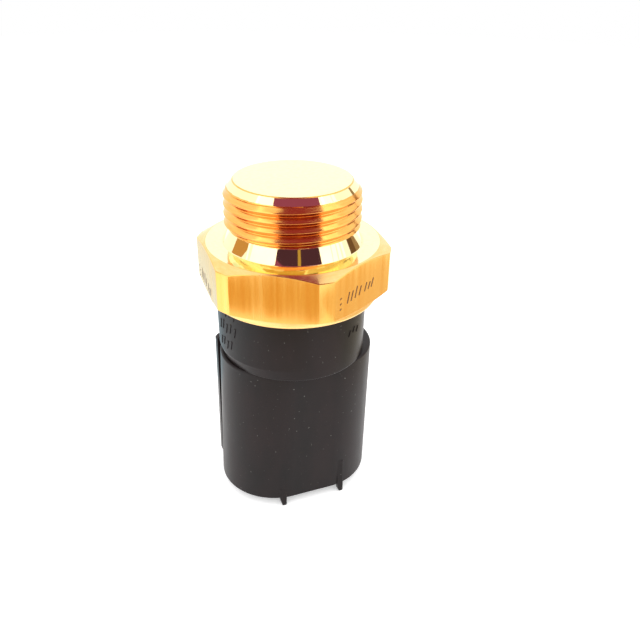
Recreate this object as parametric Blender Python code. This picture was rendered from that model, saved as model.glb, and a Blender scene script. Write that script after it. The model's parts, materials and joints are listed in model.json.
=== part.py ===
"""Two-stage screw-in thermo switch: a brass cup with a hexagon and an M22 x 1.5 thread, crimped over a
plastic connector housing.  Inside are two bimetal snap discs, two push pins and two pairs of contacts.

The frame stands the switch on its plug end.  +Z runs along the axis to the threaded, sensing end, the
flat tab on the plug shroud is at +Y, and the origin is on the axis at the lowest point.
Sizes are in millimetres and become metres where a mesh is made."""

import math

import bmesh
import bpy
from mathutils import Matrix, Vector

MM = 0.001
SHARP_ANGLE = math.radians(30)
COLLECTION = "thermo_switch"
ROUND = 60
SMALL_ROUND = 24

# Brass body, outside.
END_Z = 57.4
END_RADIUS = 9.33
THREAD_RADIUS = 11.0
THREAD_ROOT_RADIUS = 10.36
THREAD_PITCH = 1.5
FIRST_CREST_Z = 55.4
CRESTS = 4
CREST_HALF_FLAT = 0.15
ROOT_HALF_FLAT = 0.12
RELIEF_Z = 49.55
RELIEF_RADIUS = 10.08
CONE_FOOT_RADIUS = 11.3
HEX_TOP_Z = 47.3
HEX_ACROSS_FLATS = 28.8
HEX_TURN = -1.4
HEX_CORNER_RADIUS = 15.94
HEX_FACE_RADIUS = 14.1
HEX_CORNER_TOP_Z = 46.48
HEX_CORNER_BOTTOM_Z = 39.91
COLLAR_RADIUS = 14.1
COLLAR_TOP_Z = 39.3
COLLAR_BOTTOM_Z = 38.1
COLLAR_ROUNDING = 0.5

# Brass body, inside.
LIP_RADIUS = 12.6
LIP_TOP_Z = 38.8
SEAT_RADIUS = 13.4
SEAT_TOP_Z = 43.7
BORE_RADIUS = 8.6
BORE_END_Z = 55.8

# Connector housing.
FLANGE_RADIUS = 13.1
FLANGE_BOTTOM_Z = 39.1
FLANGE_TOP_Z = 41.7
NECK_TOP_RADIUS = 12.25
NECK_BOTTOM_RADIUS = 12.1
NECK_BOTTOM_Z = 27.4
SHROUD_HALF_STRAIGHT = 3.57
SHROUD_RADIUS = 9.92
SHROUD_WALL = 1.4
SHROUD_LEFT_DRAFT = 0.74
SHROUD_RIGHT_DRAFT = -0.16
SHROUD_TOP_Z = 27.6
RIM_Z = 1.5
SOCKET_FLOOR_Z = 20.0
TAB_HALF_WIDTH = 11.66
TAB_INNER_Y = 8.9
TAB_OUTER_Y = 10.4
TAB_TOP_Z = 25.9
TAB_CORNER_CUT = 1.0
LATCH_HALF_WIDTH = 3.0
LATCH_REACH = 1.2
LATCH_BOTTOM_Z = 5.5
LATCH_TOP_Z = 9.5
KEY_RIB_X = 5.46
KEY_RIB_WIDTH = 1.3
KEY_RIB_FRONT_Y = -10.05
KEY_RIB_BACK_Y = -8.7
KEY_RIB_TOP_Z = 7.0
KEY_RIB_TIP_CUT = 0.5

# Blades and their feet.
BLADE_WIDTH = 6.3
BLADE_THICKNESS = 0.8
BLADE_PITCH = 7.0
BLADE_TIP_Z = 7.5
BLADE_TIP_TAPER = 1.6
BLADE_GAP = 0.15
FOOT_BOTTOM_Z = 45.0
FOOT_TOP_Z = 45.8
FOOT_BACK_Y = -1.5
FOOT_FRONT_Y = -3.1
FOOT_TIP_Y = -6.2
COMMON_NECK_HALF_WIDTH = 1.0
COMMON_NECK_FRONT_Y = -2.0
COMMON_BAR_FRONT_Y = 4.6
COMMON_BAR_BACK_Y = 6.4

# Potting over the socket floor.
POTTING_HALF_STRAIGHT = 7.0
POTTING_RADIUS = 4.1
POTTING_DEPTH = 1.5
POTTING_GAP = 0.1

# Stack inside the brass body.
STACK_GAP = 0.1
GASKET_INNER_RADIUS = 9.4
INSERT_RADIUS = 8.3
CONTACT_BASE_TOP_Z = 44.9
CARRIER_BOTTOM_Z = 52.1
CARRIER_TOP_Z = 54.8
POCKET_RADIUS = 3.85
POCKET_FLOOR_Z = 53.7
PIN_GUIDE_RADIUS = 1.0
LEG_HALF_WIDTH = 2.2
LEG_INNER_Y = 6.8
LEG_OUTER_Y = 7.95
SPACER_BOTTOM_Z = 54.9
SPACER_TOP_Z = 55.7

# One stage of the switch: disc, pin, leaf spring, contacts.
STAGE_X = 4.1
DISC_RADIUS = 3.6
DISC_THICKNESS = 0.25
DISC_RISE = 0.4
DISC_RIM_Z = 54.25
PIN_RADIUS = 0.8
PIN_TIP_RADIUS = 0.2
PIN_TIP_LENGTH = 0.6
PIN_GAP = 0.02
LEAF_Z = 47.86
LEAF_THICKNESS = 0.2
LEAF_WIDTH = 2.2
LEAF_PIVOT_Y = 5.5
LEAF_ROOT_Y = 6.3
LEAF_FREE_Y = -6.2
CONTACT_Y = -5.0
CONTACT_RADIUS = 1.0
CONTACT_THICKNESS = 0.48
FIXED_CONTACT_TOP_Z = 46.3
RISER_GAP = 0.07
RISER_HALF_WIDTH = 1.1
RISER_HALF_DEPTH = 0.7
RIVET_SHANK_RADIUS = 0.4
RIVET_HOLE_GAP = 0.1
RIVET_HEAD_RADIUS = 0.7
RIVET_HEAD_HEIGHT = 0.35
RIVET_DEPTH = 0.8

STAGES = {1: -1, 2: 1}


def clear_scene():
    for obj in list(bpy.data.objects):
        bpy.data.objects.remove(obj)


def new_collection(name):
    collection = bpy.data.collections.new(name)
    bpy.context.scene.collection.children.link(collection)
    return collection


def make_material(name, colour, roughness, metallic=0.0):
    material = bpy.data.materials.new(name)
    material.use_nodes = True
    shader = material.node_tree.nodes["Principled BSDF"]
    shader.inputs["Base Color"].default_value = (*colour, 1.0)
    shader.inputs["Roughness"].default_value = roughness
    shader.inputs["Metallic"].default_value = metallic
    return material


def add_mesh(name, shape, material, collection):
    """An object in the collection from a bmesh in millimetres."""
    mesh = bpy.data.meshes.new(name)
    shape.transform(Matrix.Scale(MM, 4))
    bmesh.ops.recalc_face_normals(shape, faces=shape.faces)
    shape.to_mesh(mesh)
    shape.free()
    mesh.shade_smooth()
    mesh.set_sharp_from_angle(angle=SHARP_ANGLE)
    obj = bpy.data.objects.new(name, mesh)
    collection.objects.link(obj)
    if material:
        mesh.materials.append(material)
    else:
        obj.hide_render = True
        obj.display_type = "WIRE"
    return obj


def box(name, low, high, material, collection):
    shape = bmesh.new()
    middle = (Vector(low) + Vector(high)) / 2
    size = Vector(high) - Vector(low)
    bmesh.ops.create_cube(shape, size=1, matrix=Matrix.Translation(middle) @ Matrix.Diagonal((*size, 1)))
    return add_mesh(name, shape, material, collection)


def cylinder(name, radius, bottom, top, material, collection, centre=(0, 0), sides=SMALL_ROUND):
    shape = bmesh.new()
    place = Matrix.Translation((*centre, (bottom + top) / 2))
    bmesh.ops.create_cone(
        shape, cap_ends=True, segments=sides, radius1=radius, radius2=radius, depth=top - bottom, matrix=place
    )
    return add_mesh(name, shape, material, collection)


def turned(name, profile, material, collection, steps=ROUND, closed=False):
    """A body turned about Z.  The profile (radius, z) runs from the axis down its outer side, and back."""
    shape = bmesh.new()
    rings = []
    for step in range(steps):
        angle = 2 * math.pi * step / steps
        across = Vector((math.cos(angle), math.sin(angle), 0))
        rings.append([shape.verts.new(across * radius + Vector((0, 0, z))) for radius, z in profile])
    pairs = list(zip(range(len(profile)), range(1, len(profile))))
    if closed:
        pairs.append((len(profile) - 1, 0))
    for ring, after in zip(rings, rings[1:] + rings[:1]):
        for upper, lower in pairs:
            shape.faces.new((ring[upper], ring[lower], after[lower], after[upper]))
    bmesh.ops.remove_doubles(shape, verts=shape.verts, dist=0.0001)
    return add_mesh(name, shape, material, collection)


def outline_prism(name, outline, bottom, top, material, collection):
    """A flat closed outline in X and Y, filled and extruded between two heights."""
    curve = bpy.data.curves.new(name, "CURVE")
    curve.dimensions = "2D"
    curve.fill_mode = "BOTH"
    curve.extrude = (top - bottom) / 2 * MM
    spline = curve.splines.new("POLY")
    spline.points.add(len(outline) - 1)
    for point, (x, y) in zip(spline.points, outline):
        point.co = (x * MM, y * MM, 0, 1)
    spline.use_cyclic_u = True
    guide = bpy.data.objects.new(name + "_outline", curve)
    bpy.context.scene.collection.objects.link(guide)
    bpy.context.view_layer.update()
    filled = bpy.data.meshes.new_from_object(guide.evaluated_get(bpy.context.evaluated_depsgraph_get()))
    bpy.data.objects.remove(guide)
    shape = bmesh.new()
    shape.from_mesh(filled)
    bpy.data.meshes.remove(filled)
    bmesh.ops.remove_doubles(shape, verts=shape.verts, dist=0.000001)
    shape.transform(Matrix.Scale(1 / MM, 4))
    shape.transform(Matrix.Translation((0, 0, (bottom + top) / 2)))
    return add_mesh(name, shape, material, collection)


def stadium(half_straight, radius, sides=ROUND):
    """Outline with straight long sides along X and half-round ends."""
    points = []
    for end in (1, -1):
        for step in range(sides // 2 + 1):
            angle = math.pi * (step / (sides // 2) - 0.5)
            points.append((end * (half_straight + radius * math.cos(angle)), end * radius * math.sin(angle)))
    return points


def combine(target, tool, operation):
    change = target.modifiers.new(operation.title() + "_" + tool.name, "BOOLEAN")
    change.operation = operation
    change.object = tool
    change.solver = "EXACT"


def rebase(obj, origin):
    """Moves the object's origin, in millimetres, and leaves its shape where it is."""
    place = Vector(origin) * MM
    obj.data.transform(Matrix.Translation(-place))
    obj.location = place


def hexagon():
    """Two corners lie near the Y axis: the body is crimped on a little turned from the shroud."""
    corner = HEX_ACROSS_FLATS / math.sqrt(3)
    angles = [math.radians(90 + HEX_TURN + 60 * side) for side in range(6)]
    return [(corner * math.cos(angle), corner * math.sin(angle)) for angle in angles]


def thread_profile():
    """Ring grooves at the thread's pitch, from the end chamfer down to the relief."""
    points = [(THREAD_RADIUS, FIRST_CREST_Z + CREST_HALF_FLAT)]
    for crest in range(CRESTS):
        z = FIRST_CREST_Z - crest * THREAD_PITCH
        points.append((THREAD_RADIUS, z - CREST_HALF_FLAT))
        if crest < CRESTS - 1:
            root = z - THREAD_PITCH / 2
            points.append((THREAD_ROOT_RADIUS, root + ROOT_HALF_FLAT))
            points.append((THREAD_ROOT_RADIUS, root - ROOT_HALF_FLAT))
            points.append((THREAD_RADIUS, z - THREAD_PITCH + CREST_HALF_FLAT))
    points.append((RELIEF_RADIUS, z - CREST_HALF_FLAT - (THREAD_RADIUS - RELIEF_RADIUS) / 2))
    return points


def brass_body(collection, cutters, material):
    outside = [(0, END_Z), (END_RADIUS, END_Z)]
    outside += thread_profile()
    outside += [
        (RELIEF_RADIUS, RELIEF_Z),
        (CONE_FOOT_RADIUS, HEX_TOP_Z),
        (HEX_FACE_RADIUS, HEX_TOP_Z),
        (HEX_CORNER_RADIUS, HEX_CORNER_TOP_Z),
        (HEX_CORNER_RADIUS, HEX_CORNER_BOTTOM_Z),
        (COLLAR_RADIUS, COLLAR_TOP_Z),
        (COLLAR_RADIUS, COLLAR_BOTTOM_Z + COLLAR_ROUNDING),
        (COLLAR_RADIUS - COLLAR_ROUNDING, COLLAR_BOTTOM_Z),
    ]
    inside = [
        (LIP_RADIUS, COLLAR_BOTTOM_Z),
        (LIP_RADIUS, LIP_TOP_Z),
        (SEAT_RADIUS, LIP_TOP_Z),
        (SEAT_RADIUS, SEAT_TOP_Z),
        (BORE_RADIUS, SEAT_TOP_Z),
        (BORE_RADIUS, BORE_END_Z),
        (0, BORE_END_Z),
    ]
    body = turned("brass_body", outside + inside, material, collection)
    bar = outline_prism("hexagon_bar", hexagon(), COLLAR_BOTTOM_Z - 5, END_Z + 5, None, cutters)
    combine(body, bar, "INTERSECT")


def blade_slot(name, x, gap, bottom, top, collection):
    half_thick = BLADE_THICKNESS / 2 + gap
    half_wide = BLADE_WIDTH / 2 + gap
    return box(name, (x - half_thick, -half_wide, bottom), (x + half_thick, half_wide, top), None, collection)


def key_rib(name, side, cutters):
    """A rib on the shroud's front whose tip stands below the rim, narrowed from its left side."""
    x = side * KEY_RIB_X
    half = KEY_RIB_WIDTH / 2
    shape = bmesh.new()
    middle = Vector((x, (KEY_RIB_FRONT_Y + KEY_RIB_BACK_Y) / 2, KEY_RIB_TOP_Z / 2))
    size = (2 * half, KEY_RIB_BACK_Y - KEY_RIB_FRONT_Y, KEY_RIB_TOP_Z)
    bmesh.ops.create_cube(shape, size=1, matrix=Matrix.Translation(middle) @ Matrix.Diagonal((*size, 1)))
    bmesh.ops.bisect_plane(
        shape, geom=shape.verts[:] + shape.edges[:] + shape.faces[:], plane_co=(0, 0, RIM_Z), plane_no=(0, 0, 1)
    )
    for vert in shape.verts:
        if vert.co.z < RIM_Z / 2 and vert.co.x < x:
            vert.co.x += KEY_RIB_TIP_CUT
    return add_mesh(name, shape, None, cutters)


def shroud(cutters):
    """Stadium prism whose left end leans in towards the top, for draft, and whose right end leans out a little."""
    outline = stadium(SHROUD_HALF_STRAIGHT, SHROUD_RADIUS)
    prism = outline_prism("shroud", outline, RIM_Z, SHROUD_TOP_Z, None, cutters)
    half = (SHROUD_HALF_STRAIGHT + SHROUD_RADIUS) * MM
    for vert in prism.data.vertices:
        if vert.co.z > NECK_BOTTOM_Z * MM:
            right = (vert.co.x / half + 1) / 2
            vert.co.x += (SHROUD_LEFT_DRAFT * (1 - right) - SHROUD_RIGHT_DRAFT * right) * MM
    return prism


def shroud_tab(cutters):
    """Flat tab on the back of the shroud, with clipped upper corners, as an outline stood up along Z."""
    cut = TAB_HALF_WIDTH - TAB_CORNER_CUT
    outline = [
        (-TAB_HALF_WIDTH, 0),
        (TAB_HALF_WIDTH, 0),
        (TAB_HALF_WIDTH, TAB_TOP_Z - TAB_CORNER_CUT),
        (cut, TAB_TOP_Z),
        (-cut, TAB_TOP_Z),
        (-TAB_HALF_WIDTH, TAB_TOP_Z - TAB_CORNER_CUT),
    ]
    tab = outline_prism("shroud_tab", outline, -TAB_OUTER_Y, -TAB_INNER_Y, None, cutters)
    tab.data.transform(Matrix.Rotation(math.radians(90), 4, "X"))
    return tab


def latch_ramp(cutters):
    """Catch for the plug's clip on the outside of the tab: square at the top, sloped at the bottom."""
    low = (-LATCH_HALF_WIDTH, TAB_OUTER_Y - 0.5, LATCH_BOTTOM_Z)
    high = (LATCH_HALF_WIDTH, TAB_OUTER_Y + LATCH_REACH, LATCH_TOP_Z)
    latch = box("latch_ramp", low, high, None, cutters)
    for vert in latch.data.vertices:
        if vert.co.y > TAB_OUTER_Y * MM and vert.co.z < (LATCH_BOTTOM_Z + 1) * MM:
            vert.co.z = (LATCH_TOP_Z - 1) * MM
    return latch


def connector_housing(collection, cutters, material):
    core = NECK_BOTTOM_RADIUS - 3
    profile = [
        (0, FLANGE_TOP_Z),
        (FLANGE_RADIUS, FLANGE_TOP_Z),
        (FLANGE_RADIUS, FLANGE_BOTTOM_Z),
        (NECK_TOP_RADIUS, FLANGE_BOTTOM_Z),
        (NECK_BOTTOM_RADIUS, NECK_BOTTOM_Z),
        (core, NECK_BOTTOM_Z),
        (core, NECK_BOTTOM_Z - 1),
        (0, NECK_BOTTOM_Z - 1),
    ]
    housing = turned("connector_housing", profile, material, collection)
    combine(housing, shroud(cutters), "UNION")
    combine(housing, shroud_tab(cutters), "UNION")
    combine(housing, latch_ramp(cutters), "UNION")
    for side in (-1, 1):
        combine(housing, key_rib(f"key_rib_{side}", side, cutters), "UNION")
    outline = stadium(SHROUD_HALF_STRAIGHT, SHROUD_RADIUS - SHROUD_WALL)
    combine(housing, outline_prism("socket", outline, RIM_Z - 1, SOCKET_FLOOR_Z, None, cutters), "DIFFERENCE")
    outline = stadium(POTTING_HALF_STRAIGHT, POTTING_RADIUS)
    recess = outline_prism("recess", outline, SOCKET_FLOOR_Z - 1, SOCKET_FLOOR_Z + POTTING_DEPTH, None, cutters)
    combine(housing, recess, "DIFFERENCE")
    for x in (-BLADE_PITCH, 0, BLADE_PITCH):
        slot = blade_slot(f"housing_slot_{x:g}", x, BLADE_GAP, SOCKET_FLOOR_Z - 1, FLANGE_TOP_Z + 1, cutters)
        combine(housing, slot, "DIFFERENCE")


def terminal_potting(collection, cutters, material):
    outline = stadium(POTTING_HALF_STRAIGHT, POTTING_RADIUS - POTTING_GAP, SMALL_ROUND)
    bottom = SOCKET_FLOOR_Z
    top = SOCKET_FLOOR_Z + POTTING_DEPTH - POTTING_GAP
    potting = outline_prism("terminal_potting", outline, bottom, top, material, collection)
    for x in (-BLADE_PITCH, 0, BLADE_PITCH):
        slot = blade_slot(f"potting_slot_{x:g}", x, POTTING_GAP, bottom - 1, top + 1, cutters)
        combine(potting, slot, "DIFFERENCE")


def sealing_gasket(collection, material):
    top = SEAT_TOP_Z - STACK_GAP
    bottom = FLANGE_TOP_Z + STACK_GAP
    ring = [(FLANGE_RADIUS, top), (FLANGE_RADIUS, bottom), (GASKET_INNER_RADIUS, bottom), (GASKET_INNER_RADIUS, top)]
    turned("sealing_gasket", ring, material, collection, steps=ROUND // 2, closed=True)


def contact_base(collection, cutters, material):
    bottom = FLANGE_TOP_Z + STACK_GAP
    base = cylinder("contact_base", INSERT_RADIUS, bottom, CONTACT_BASE_TOP_Z, material, collection, sides=ROUND)
    for x in (-BLADE_PITCH, 0, BLADE_PITCH):
        slot = blade_slot(f"base_slot_{x:g}", x, BLADE_GAP, bottom - 1, CONTACT_BASE_TOP_Z + 1, cutters)
        combine(base, slot, "DIFFERENCE")


def blade(name, x, material, collection):
    """Flat blade with a tapered tip.  Its top carries the foot inside the brass body."""
    low = (x - BLADE_THICKNESS / 2, -BLADE_WIDTH / 2, BLADE_TIP_Z)
    high = (x + BLADE_THICKNESS / 2, BLADE_WIDTH / 2, FOOT_TOP_Z)
    body = box(name, low, high, material, collection)
    shape = bmesh.new()
    shape.from_mesh(body.data)
    tip = BLADE_TIP_TAPER * MM
    bmesh.ops.bisect_plane(
        shape,
        geom=shape.verts[:] + shape.edges[:] + shape.faces[:],
        plane_co=(0, 0, BLADE_TIP_Z * MM + tip),
        plane_no=(0, 0, 1),
    )
    for vert in shape.verts:
        if vert.co.z < (BLADE_TIP_Z + 0.5) * MM:
            vert.co.x = x * MM + (vert.co.x - x * MM) * 0.4
            vert.co.y *= 0.75
    shape.to_mesh(body.data)
    shape.free()
    return body


def stage_terminal(stage, side, collection, cutters, material):
    """Blade whose foot turns inward under the fixed contact."""
    x = side * BLADE_PITCH
    terminal = blade(f"stage_{stage}_terminal", x, material, collection)
    far = BLADE_PITCH + BLADE_THICKNESS / 2
    near = STAGE_X - CONTACT_RADIUS - 0.1
    reach = STAGE_X + CONTACT_RADIUS + 0.1
    outline = [(far, FOOT_FRONT_Y), (far, FOOT_BACK_Y), (near, FOOT_BACK_Y)]
    outline += [(near, FOOT_TIP_Y), (reach, FOOT_TIP_Y), (reach, FOOT_FRONT_Y)]
    outline = [(side * px, py) for px, py in outline]
    foot = outline_prism(f"stage_{stage}_foot", outline, FOOT_BOTTOM_Z, FOOT_TOP_Z - 0.01, None, cutters)
    combine(terminal, foot, "UNION")


def common_terminal(collection, cutters, material):
    """Middle blade whose foot is a cross bar with a riser under the root of each leaf spring."""
    terminal = blade("common_terminal", 0, material, collection)
    bar_end = STAGE_X + RISER_HALF_WIDTH
    low = (-COMMON_NECK_HALF_WIDTH, COMMON_NECK_FRONT_Y, FOOT_BOTTOM_Z)
    high = (COMMON_NECK_HALF_WIDTH, (COMMON_BAR_FRONT_Y + COMMON_BAR_BACK_Y) / 2, FOOT_TOP_Z - 0.02)
    neck = box("common_neck", low, high, None, cutters)
    combine(terminal, neck, "UNION")
    low = (-bar_end, COMMON_BAR_FRONT_Y, FOOT_BOTTOM_Z + 0.01)
    bar = box("common_bar", low, (bar_end, COMMON_BAR_BACK_Y, FOOT_TOP_Z), None, cutters)
    combine(terminal, bar, "UNION")
    riser_top = LEAF_Z - LEAF_THICKNESS / 2 - RISER_GAP
    for side in (-1, 1):
        x = side * STAGE_X
        low = (x - RISER_HALF_WIDTH + 0.05, LEAF_PIVOT_Y - RISER_HALF_DEPTH, FOOT_BOTTOM_Z + 0.2)
        high = (x + RISER_HALF_WIDTH - 0.05, LEAF_PIVOT_Y + RISER_HALF_DEPTH, riser_top)
        combine(terminal, box(f"riser_{side}", low, high, None, cutters), "UNION")
        hole = cylinder(
            f"riser_hole_{side}",
            RIVET_SHANK_RADIUS + RIVET_HOLE_GAP,
            riser_top - RIVET_DEPTH - RIVET_HOLE_GAP,
            riser_top + 1,
            None,
            cutters,
            centre=(x, LEAF_PIVOT_Y),
        )
        combine(terminal, hole, "DIFFERENCE")


def disc_carrier(collection, cutters, material):
    """Guide plate with a pocket for each disc and a bore for each pin, on two legs."""
    carrier = cylinder("disc_carrier", INSERT_RADIUS, CARRIER_BOTTOM_Z, CARRIER_TOP_Z, material, collection, sides=ROUND)
    for side in (-1, 1):
        near, far = sorted((side * LEG_INNER_Y, side * LEG_OUTER_Y))
        low = (-LEG_HALF_WIDTH, near, CONTACT_BASE_TOP_Z + STACK_GAP)
        high = (LEG_HALF_WIDTH, far, CARRIER_BOTTOM_Z + 0.5)
        combine(carrier, box(f"carrier_leg_{side}", low, high, None, cutters), "UNION")
    for stage, side in STAGES.items():
        centre = (side * STAGE_X, 0)
        pocket = cylinder(f"pocket_{stage}", POCKET_RADIUS, POCKET_FLOOR_Z, CARRIER_TOP_Z + 1, None, cutters, centre)
        combine(carrier, pocket, "DIFFERENCE")
        guide = cylinder(
            f"guide_{stage}", PIN_GUIDE_RADIUS, CARRIER_BOTTOM_Z - 1, POCKET_FLOOR_Z + 0.5, None, cutters, centre
        )
        combine(carrier, guide, "DIFFERENCE")


def bimetal_disc(stage, x, collection, material):
    """Shallow dome, crown up when cold."""
    steps = 5
    radii = [DISC_RADIUS * step / steps for step in range(steps + 1)]
    upper = [(r, DISC_RISE * (1 - (r / DISC_RADIUS) ** 2) + DISC_THICKNESS) for r in radii]
    lower = [(r, z - DISC_THICKNESS) for r, z in reversed(upper)]
    disc = turned(f"bimetal_disc_{stage}", upper + lower, material, collection, steps=SMALL_ROUND)
    disc.location = Vector((x, 0, DISC_RIM_Z)) * MM


def push_pin(stage, x, collection, material):
    bottom = LEAF_Z + LEAF_THICKNESS / 2 + PIN_GAP
    top = DISC_RIM_Z + DISC_RISE - 2 * PIN_GAP
    shoulder = bottom + PIN_TIP_LENGTH
    profile = [(0, top), (PIN_RADIUS, top), (PIN_RADIUS, shoulder), (PIN_TIP_RADIUS, bottom), (0, bottom)]
    profile = [(radius, z - bottom) for radius, z in profile]
    pin = turned(f"push_pin_{stage}", profile, material, collection, steps=SMALL_ROUND)
    pin.location = Vector((x, 0, bottom)) * MM


def contact_spring(stage, x, collection, cutters, material):
    """Leaf spring clamped at its root by a rivet.  Its origin is on the line that it bends about."""
    half = LEAF_WIDTH / 2
    low = (x - half, LEAF_FREE_Y, LEAF_Z - LEAF_THICKNESS / 2)
    high = (x + half, LEAF_ROOT_Y, LEAF_Z + LEAF_THICKNESS / 2)
    spring = box(f"contact_spring_{stage}", low, high, material, collection)
    rebase(spring, (x, LEAF_PIVOT_Y, LEAF_Z))
    hole = cylinder(
        f"spring_hole_{stage}",
        RIVET_SHANK_RADIUS + RIVET_HOLE_GAP,
        LEAF_Z - 1,
        LEAF_Z + 1,
        None,
        cutters,
        centre=(x, LEAF_PIVOT_Y),
    )
    combine(spring, hole, "DIFFERENCE")


def contacts(stage, x, collection, material):
    top = LEAF_Z - LEAF_THICKNESS / 2 - PIN_GAP
    centre = (x, CONTACT_Y)
    moving = cylinder(
        f"moving_contact_{stage}", CONTACT_RADIUS, top - CONTACT_THICKNESS, top, material, collection, centre
    )
    rebase(moving, (x, LEAF_PIVOT_Y, LEAF_Z))
    bottom = FOOT_TOP_Z + 0.05
    cylinder(f"fixed_contact_{stage}", CONTACT_RADIUS, bottom, FIXED_CONTACT_TOP_Z, material, collection, centre)


def spring_rivet(stage, x, collection, material):
    riser_top = LEAF_Z - LEAF_THICKNESS / 2 - RISER_GAP
    head = LEAF_Z + LEAF_THICKNESS / 2 + RISER_GAP
    profile = [
        (0, head + RIVET_HEAD_HEIGHT),
        (RIVET_HEAD_RADIUS * 0.7, head + RIVET_HEAD_HEIGHT),
        (RIVET_HEAD_RADIUS, head + RIVET_HEAD_HEIGHT / 2),
        (RIVET_HEAD_RADIUS, head),
        (RIVET_SHANK_RADIUS, head),
        (RIVET_SHANK_RADIUS, riser_top - RIVET_DEPTH),
        (0, riser_top - RIVET_DEPTH),
    ]
    rivet = turned(f"spring_rivet_{stage}", profile, material, collection, steps=SMALL_ROUND)
    rivet.location = Vector((x, LEAF_PIVOT_Y, 0)) * MM


def main():
    clear_scene()
    parts = new_collection(COLLECTION)
    cutters = new_collection("cutters")
    brass = make_material("brass", (0.83, 0.52, 0.17), 0.22, 1.0)
    black_plastic = make_material("black_plastic", (0.02, 0.018, 0.018), 0.35)
    tinned = make_material("tinned_brass", (0.72, 0.71, 0.68), 0.3, 1.0)
    bronze = make_material("spring_bronze", (0.72, 0.42, 0.25), 0.3, 1.0)
    silver = make_material("contact_silver", (0.85, 0.85, 0.83), 0.2, 1.0)
    bimetal = make_material("bimetal", (0.55, 0.55, 0.55), 0.35, 1.0)
    copper = make_material("copper", (0.82, 0.42, 0.28), 0.3, 1.0)
    phenolic = make_material("phenolic", (0.16, 0.07, 0.03), 0.5)
    rubber = make_material("rubber", (0.03, 0.03, 0.03), 0.8)
    ceramic = make_material("ceramic", (0.85, 0.84, 0.8), 0.4)
    epoxy = make_material("epoxy", (0.03, 0.03, 0.035), 0.15)

    brass_body(parts, cutters, brass)
    connector_housing(parts, cutters, black_plastic)
    sealing_gasket(parts, rubber)
    contact_base(parts, cutters, phenolic)
    terminal_potting(parts, cutters, epoxy)
    common_terminal(parts, cutters, tinned)
    disc_carrier(parts, cutters, phenolic)
    cylinder("heat_spacer", INSERT_RADIUS, SPACER_BOTTOM_Z, SPACER_TOP_Z, copper, parts, sides=ROUND)
    for stage, side in STAGES.items():
        x = side * STAGE_X
        stage_terminal(stage, side, parts, cutters, tinned)
        bimetal_disc(stage, x, parts, bimetal)
        push_pin(stage, x, parts, ceramic)
        contact_spring(stage, x, parts, cutters, bronze)
        contacts(stage, x, parts, silver)
        spring_rivet(stage, x, parts, bronze)


main()
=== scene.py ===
"""Looks of the screw-in thermo switch: a polished brass body over a black plug housing, on a white floor.

Shapes are worked out in millimetres in the frame of the CAD model, and become metres where a mesh is made:
+Z runs along the axis to the sensing end, the flat tab is at +Y, the origin is at the lowest point."""

import json
import math

import bmesh
import bpy
from mathutils import Matrix, Vector


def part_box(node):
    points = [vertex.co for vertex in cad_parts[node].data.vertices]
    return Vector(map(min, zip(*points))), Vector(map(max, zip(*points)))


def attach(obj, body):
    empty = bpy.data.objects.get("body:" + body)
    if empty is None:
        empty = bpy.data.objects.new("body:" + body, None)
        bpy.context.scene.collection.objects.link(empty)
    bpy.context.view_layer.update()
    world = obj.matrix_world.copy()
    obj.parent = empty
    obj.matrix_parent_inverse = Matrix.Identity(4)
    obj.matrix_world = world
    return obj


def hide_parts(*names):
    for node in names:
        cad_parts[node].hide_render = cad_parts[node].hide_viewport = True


MM = 0.001
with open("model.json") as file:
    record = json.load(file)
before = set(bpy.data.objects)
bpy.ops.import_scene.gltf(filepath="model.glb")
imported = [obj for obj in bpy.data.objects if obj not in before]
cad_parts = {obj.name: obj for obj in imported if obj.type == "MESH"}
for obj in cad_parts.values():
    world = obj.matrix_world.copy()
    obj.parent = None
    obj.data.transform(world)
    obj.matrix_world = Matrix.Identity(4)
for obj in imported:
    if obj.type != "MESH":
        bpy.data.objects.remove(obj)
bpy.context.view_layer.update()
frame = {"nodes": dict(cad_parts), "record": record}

# ---------------------------------------------------------------- sizes read from the frame

MOUNTS = {mount["name"]: mount for mount in frame["record"]["mounts"]}
END_Z = MOUNTS["sensing_face"]["pos_m"][2] / MM
HEX_TOP_Z = MOUNTS["seat_face"]["pos_m"][2] / MM
RIM_Z = MOUNTS["plug_rim"]["pos_m"][2] / MM
FLAT_NORMAL = MOUNTS["spanner_flat_right"]["axis"]
FLAT_AT = MOUNTS["spanner_flat_right"]["pos_m"]
HEX_TURN = math.atan2(FLAT_NORMAL[1], FLAT_NORMAL[0])
HEX_FLAT_RADIUS = math.hypot(FLAT_AT[0], FLAT_AT[1]) / MM
BRASS_LOW, BRASS_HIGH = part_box("brass_body")
COLLAR_BOTTOM_Z = BRASS_LOW[2] / MM
HEX_CORNER_RADIUS = BRASS_HIGH[1] / MM
FLANGE_TOP_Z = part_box("connector_housing")[1][2] / MM
SOCKET_FLOOR_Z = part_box("terminal_potting")[0][2] / MM

# ---------------------------------------------------------------- brass body, in mm

END_RADIUS = 9.33
END_EDGE = 0.18
THREAD_RADIUS = 11.0
THREAD_PITCH = 1.5
THREAD_DEPTH = 0.71
END_GROOVE_EXTRA = 0.3  # more than the flanks leave, so the last groove ends only about 0.03 deeper
CREST_HALF_FLAT = 0.05
FLANK_SLOPE = 1.04
THREAD_ROUNDING = 0.035
CHAMFER_FOOT_Z = END_Z - 1.85
CREST_PHASE = math.radians(-112)
CREST_Z = END_Z - 3.5
RELIEF_Z = END_Z - 7.85
RELIEF_RADIUS = 10.08
RUNOUT_SLOPE = 1.6
RUNOUT_HEIGHT = 0.8
CONE_FOOT_RADIUS = 11.3
HEX_FACE_RADIUS = 14.1
HEX_CHAMFER = 0.446
HEX_LOW_CHAMFER = 0.332
HEX_LOW_Z = COLLAR_BOTTOM_Z + 1.81
COLLAR_RADIUS = 14.1
LIP_RADIUS = 12.6
LIP_HEIGHT = 0.7
SEAT_RADIUS = 13.4
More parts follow.
